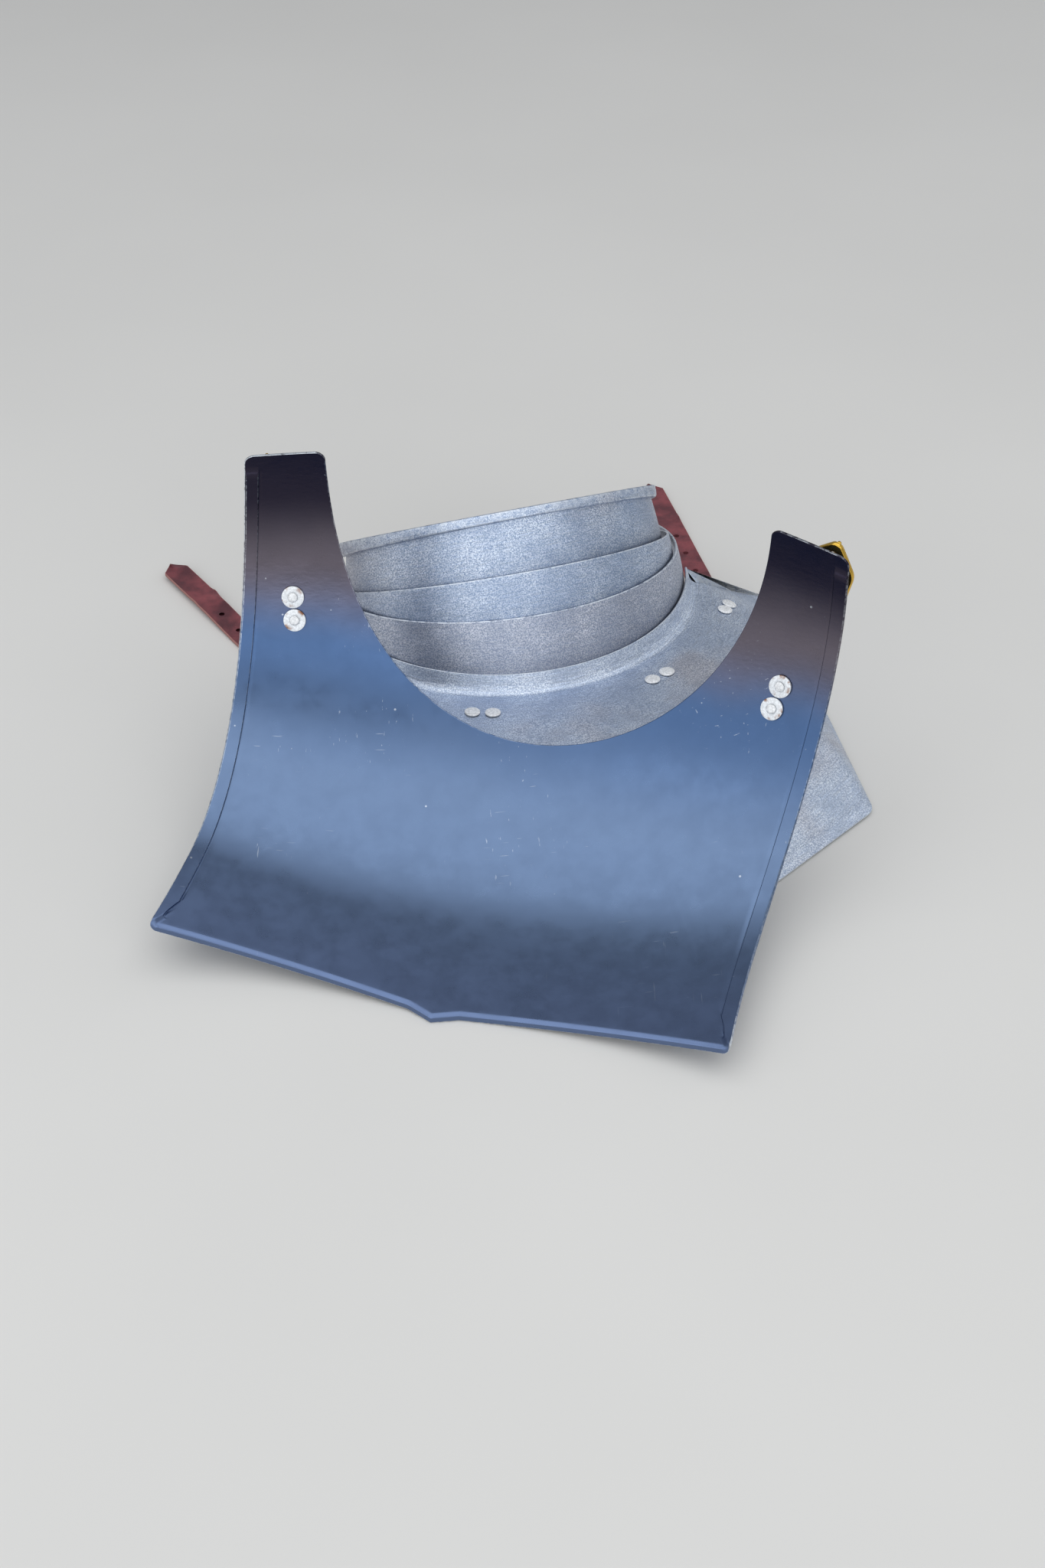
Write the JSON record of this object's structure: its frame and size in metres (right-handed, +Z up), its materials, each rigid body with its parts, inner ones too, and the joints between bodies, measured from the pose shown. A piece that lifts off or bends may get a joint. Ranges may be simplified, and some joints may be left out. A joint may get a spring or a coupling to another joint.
{
  "type": "steel gorget",
  "caption": "Steel neck and collar armour with a front and a back plate, nested neck lames and leather buckle straps, lying open.",
  "frame": {"origin": "middle of the bounding box's bottom, on the surface the gorget lies on", "axes": "+Z up from the surface; +Y away from the picture's camera; the front plate's neck is turned 19.3 degrees from +Y and leans back 27 degrees"},
  "size_m": [0.3792, 0.494, 0.1794],
  "materials": {
    "aged_steel": "aged dark steel, brushed, grainy satin",
    "blued_steel": "smooth dark blued steel, semi-gloss, finely scratched",
    "bright_steel": "bright steel rivets, slightly worn",
    "zinc": "dull zinc plate",
    "brass": "aged brass, bright on the rim",
    "leather": "dark dyed leather with pale cut edges"
  },
  "bodies": {
    "root": {"back_plate": "blued_steel", "billet_strap_left": "leather", "billet_strap_right": "leather", "buckle_chape_left": "leather", "buckle_chape_right": "leather", "buckle_left": "brass", "buckle_right": "brass", "front_plate": "aged_steel", "leather_lame_left": "leather", "leather_lame_right": "leather", "neck_lame_bottom": "aged_steel", "neck_lame_middle": "aged_steel", "neck_lame_top": "aged_steel", "rivet_bottom_left": "bright_steel", "rivet_bottom_right": "bright_steel", "rivet_buckle_left_1": "bright_steel", "rivet_buckle_left_2": "bright_steel", "rivet_buckle_right_1": "bright_steel", "rivet_buckle_right_2": "bright_steel", "rivet_lame_left_1": "bright_steel", "rivet_lame_left_2": "bright_steel", "rivet_lame_right_1": "bright_steel", "rivet_lame_right_2": "bright_steel", "rivet_middle_left": "bright_steel", "rivet_middle_right": "bright_steel", "rivet_strap_left_1": "bright_steel", "rivet_strap_left_2": "bright_steel", "rivet_strap_right_1": "bright_steel", "rivet_strap_right_2": "bright_steel", "rivet_top_left": "bright_steel", "rivet_top_right": "bright_steel", "washer_left_1": "zinc", "washer_left_2": "zinc", "washer_right_1": "zinc", "washer_right_2": "zinc"}
  },
  "joints": []
}
